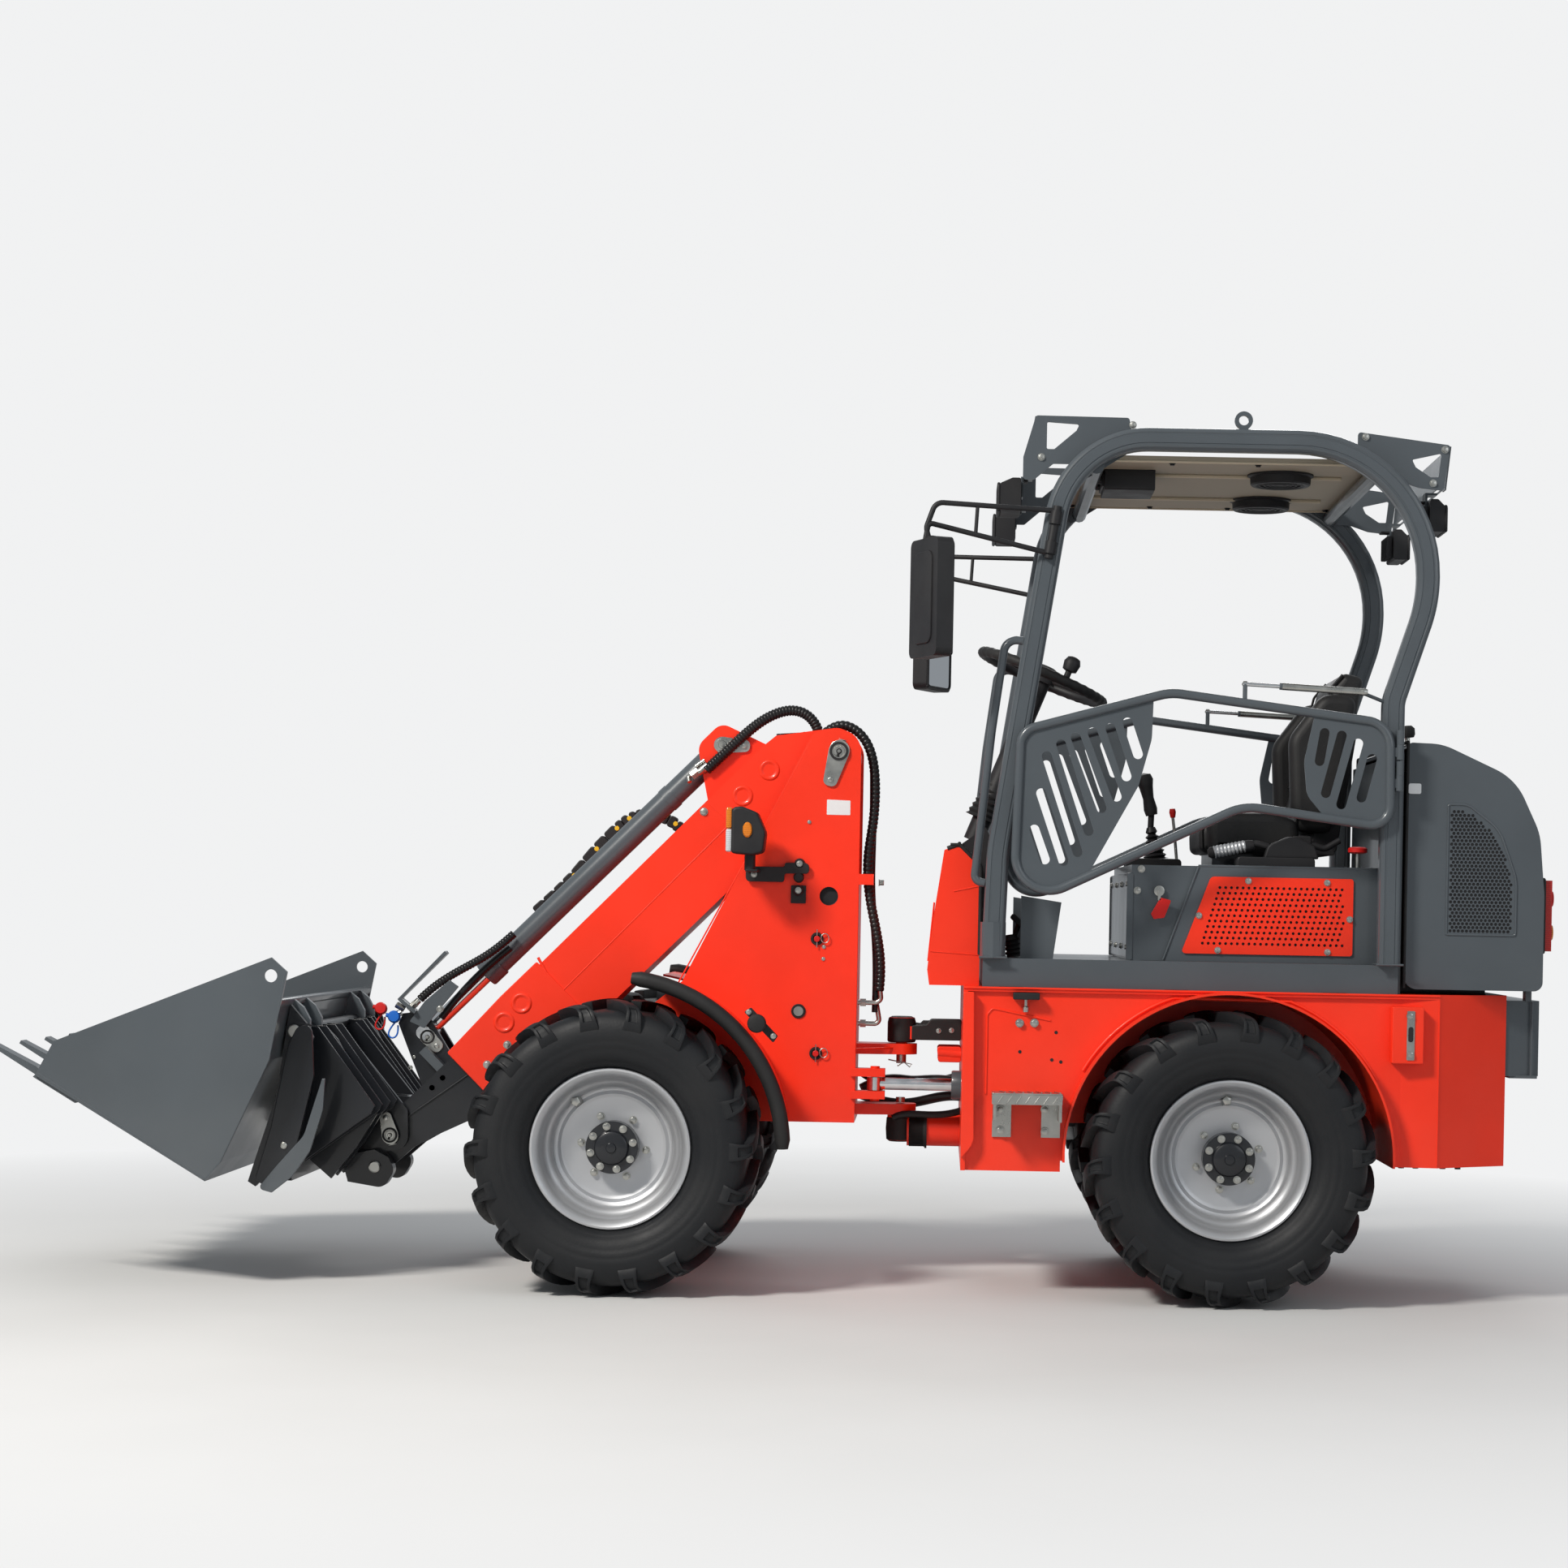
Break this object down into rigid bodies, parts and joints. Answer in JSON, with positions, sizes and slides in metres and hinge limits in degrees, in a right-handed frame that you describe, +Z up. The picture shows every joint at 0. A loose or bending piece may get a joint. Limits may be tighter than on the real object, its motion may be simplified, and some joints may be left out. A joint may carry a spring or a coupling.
{
  "type": "compact articulated wheel loader with telescopic boom",
  "caption": "Compact articulated wheel loader with a telescopic boom, a wide bucket on a quick tool carrier and an open cab with a roll-over frame and low doors",
  "frame": {"origin": "on the ground, midway between the bucket's teeth and the tail and on the middle plane", "axes": "+X to the rear along the machine's length, +Y to the operator's right, +Z up"},
  "size_m": [4.108, 1.3736, 2.3659],
  "materials": {
    "red_paint": "gloss",
    "grey_paint": "semi_gloss",
    "black_paint": "semi_gloss",
    "silver_paint": "satin",
    "tyre_rubber": "matte",
    "black_rubber": "matte",
    "hose_rubber": "satin",
    "black_plastic": "matte",
    "black_vinyl": "satin",
    "beige_trim": "matte",
    "lamp_plastic": "gloss",
    "zinc_steel": "satin",
    "polished_rod": "polished"
  },
  "bodies": {
    "chassis": {"rear_frame": "red_paint", "rear_axle": "black_paint", "engine_block": "black_paint", "tail_block": "black_paint", "platform": "grey_paint", "engine_covers": "grey_paint", "side_panels": "red_paint", "rollover_frame": "grey_paint", "roof_liner": "beige_trim", "lamp_brackets": "grey_paint", "work_lamps": "black_plastic", "lifting_eyes": "grey_paint", "cowl": "red_paint", "steering_column": "black_plastic", "seat_base": "black_paint", "seat": "black_vinyl", "levers": "black_plastic", "mirrors": "black_plastic", "grab_rails": "grey_paint", "steps": "zinc_steel"},
    "hood": {"bonnet": "grey_paint", "bonnet_vents": "black_plastic", "tail_lamps": "lamp_plastic"},
    "left_door": {"door_left": "grey_paint"},
    "right_door": {"door_right": "grey_paint"},
    "hand_wheel": {"steering_wheel": "black_plastic"},
    "front": {"front_frame": "red_paint", "front_axle": "black_paint", "fender_lips": "black_rubber", "mast_lamps": "black_plastic", "mast_hoses": "hose_rubber"},
    "lift_arm": {"boom": "red_paint", "telescope_barrel": "black_paint"},
    "inner_arm": {"inner_boom": "black_paint", "telescope_rod": "polished_rod", "couplers": "grey_paint", "tilt_barrel": "black_paint"},
    "tool": {"tool_carrier": "black_paint", "bucket": "grey_paint"},
    "lift_tube": {"lift_barrel": "black_paint"},
    "lift_piston": {"lift_rod": "polished_rod"},
    "tilt_piston": {"tilt_rod": "polished_rod"},
    "steer_tube": {"steer_barrel": "black_paint"},
    "steer_piston": {"steer_rod": "polished_rod"},
    "wheel_front_left": {"tyre_front_left": "tyre_rubber", "rim_front_left": "silver_paint"},
    "wheel_front_right": {"tyre_front_right": "tyre_rubber", "rim_front_right": "silver_paint"},
    "wheel_rear_left": {"tyre_rear_left": "tyre_rubber", "rim_rear_left": "silver_paint"},
    "wheel_rear_right": {"tyre_rear_right": "tyre_rubber", "rim_rear_right": "silver_paint"}
  },
  "joints": [
    {"name": "articulation", "type": "hinge", "parent": "chassis", "child": "front", "pos_m": [0.324, 0, 0.545], "axis": [0, 0, 1], "range_deg": [-40, 40]},
    {"name": "lift", "type": "hinge", "parent": "front", "child": "lift_arm", "pos_m": [0.138, 0, 1.463], "axis": [0, 1, 0], "range_deg": [-6, 80]},
    {"name": "telescope", "type": "slide", "parent": "lift_arm", "child": "inner_arm", "axis": [-0.7071, 0, -0.7071], "range_m": [0, 0.6]},
    {"name": "tilt", "type": "hinge", "parent": "inner_arm", "child": "tool", "pos_m": [-1.08812, 0, 0.37688], "axis": [0, 1, 0], "range_deg": [-105, 12]},
    {"name": "bonnet_hinge", "type": "hinge", "parent": "chassis", "child": "hood", "pos_m": [2.014, 0, 0.852], "axis": [0, 1, 0], "range_deg": [0, 60]},
    {"name": "left_door_hinge", "type": "hinge", "parent": "chassis", "child": "left_door", "pos_m": [1.63, -0.549, 1.427], "axis": [0, 0, 1], "range_deg": [0, 100]},
    {"name": "right_door_hinge", "type": "hinge", "parent": "chassis", "child": "right_door", "pos_m": [1.63, 0.549, 1.427], "axis": [0, 0, 1], "range_deg": [-100, 0]},
    {"name": "steering_wheel_turn", "type": "hinge", "parent": "chassis", "child": "hand_wheel", "pos_m": [0.702, 0, 1.69], "axis": [0.3746, 0, 0.9272], "continuous": true},
    {"name": "front_left_wheel", "type": "hinge", "parent": "front", "child": "wheel_front_left", "pos_m": [-0.426, -0.453, 0.388], "axis": [0, 1, 0], "continuous": true},
    {"name": "front_right_wheel", "type": "hinge", "parent": "front", "child": "wheel_front_right", "pos_m": [-0.426, 0.453, 0.388], "axis": [0, 1, 0], "continuous": true},
    {"name": "rear_left_wheel", "type": "hinge", "parent": "chassis", "child": "wheel_rear_left", "pos_m": [1.198, -0.453, 0.388], "axis": [0, 1, 0], "continuous": true},
    {"name": "rear_right_wheel", "type": "hinge", "parent": "chassis", "child": "wheel_rear_right", "pos_m": [1.198, 0.453, 0.388], "axis": [0, 1, 0], "continuous": true},
    {"name": "steer_barrel_swing", "type": "hinge", "parent": "chassis", "child": "steer_tube", "pos_m": [0.824, -0.138, 0.545], "axis": [0, 0, 1], "range_deg": [-10, 10]},
    {"name": "steer_rod_travel", "type": "slide", "parent": "steer_tube", "child": "steer_piston", "axis": [1, 0, 0], "range_m": [-0.11, 0.11]},
    {"name": "lift_barrel_swing", "type": "hinge", "parent": "front", "child": "lift_tube", "pos_m": [-0.006, 0, 0.5], "axis": [0, 1, 0], "range_deg": [-9, 2]},
    {"name": "lift_rod_travel", "type": "slide", "parent": "lift_tube", "child": "lift_piston", "axis": [-0.0363, 0, 0.9993], "range_m": [-0.04, 0.4]},
    {"name": "tilt_rod_travel", "type": "slide", "parent": "inner_arm", "child": "tilt_piston", "axis": [-0.8238, 0, -0.5669], "range_m": [-0.02, 0.14]}
  ],
  "couplings": [
    {"joint": "steer_barrel_swing", "follows": "articulation", "ratio": 0.105},
    {"joint": "steer_rod_travel", "follows": "articulation", "m_per_rad": 0.13},
    {"joint": "lift_barrel_swing", "follows": "lift", "ratio": -0.1},
    {"joint": "lift_rod_travel", "follows": "lift", "m_per_rad": 0.2765},
    {"joint": "tilt_rod_travel", "follows": "tilt", "m_per_rad": -0.0686}
  ]
}
